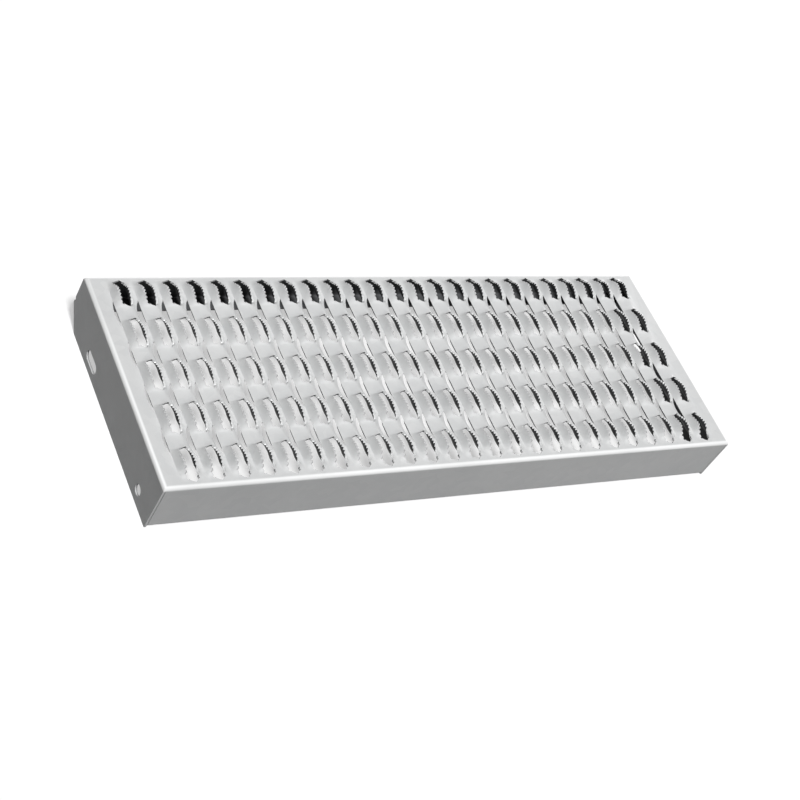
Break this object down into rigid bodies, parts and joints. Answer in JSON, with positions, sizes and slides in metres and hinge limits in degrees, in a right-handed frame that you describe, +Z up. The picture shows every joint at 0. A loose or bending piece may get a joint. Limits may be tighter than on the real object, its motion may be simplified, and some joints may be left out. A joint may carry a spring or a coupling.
{
  "type": "grating stair tread",
  "caption": "Folded sheet-steel stair tread with a slit, pressed, ridged anti-slip deck, turned-down flanges and end plates with a bolt hole and a slot.",
  "frame": {"origin": "centre of the footprint, on the plane that the lowest edges stand on", "axes": "+X along the tread, -Y towards the walking front, +Z up"},
  "size_m": [0.822, 0.298, 0.0815],
  "materials": {
    "galvanised_steel": "plain galvanised sheet, satin to matte, with pale cut edges"
  },
  "bodies": {
    "root": {"tread_sheet": "galvanised_steel"}
  },
  "joints": []
}
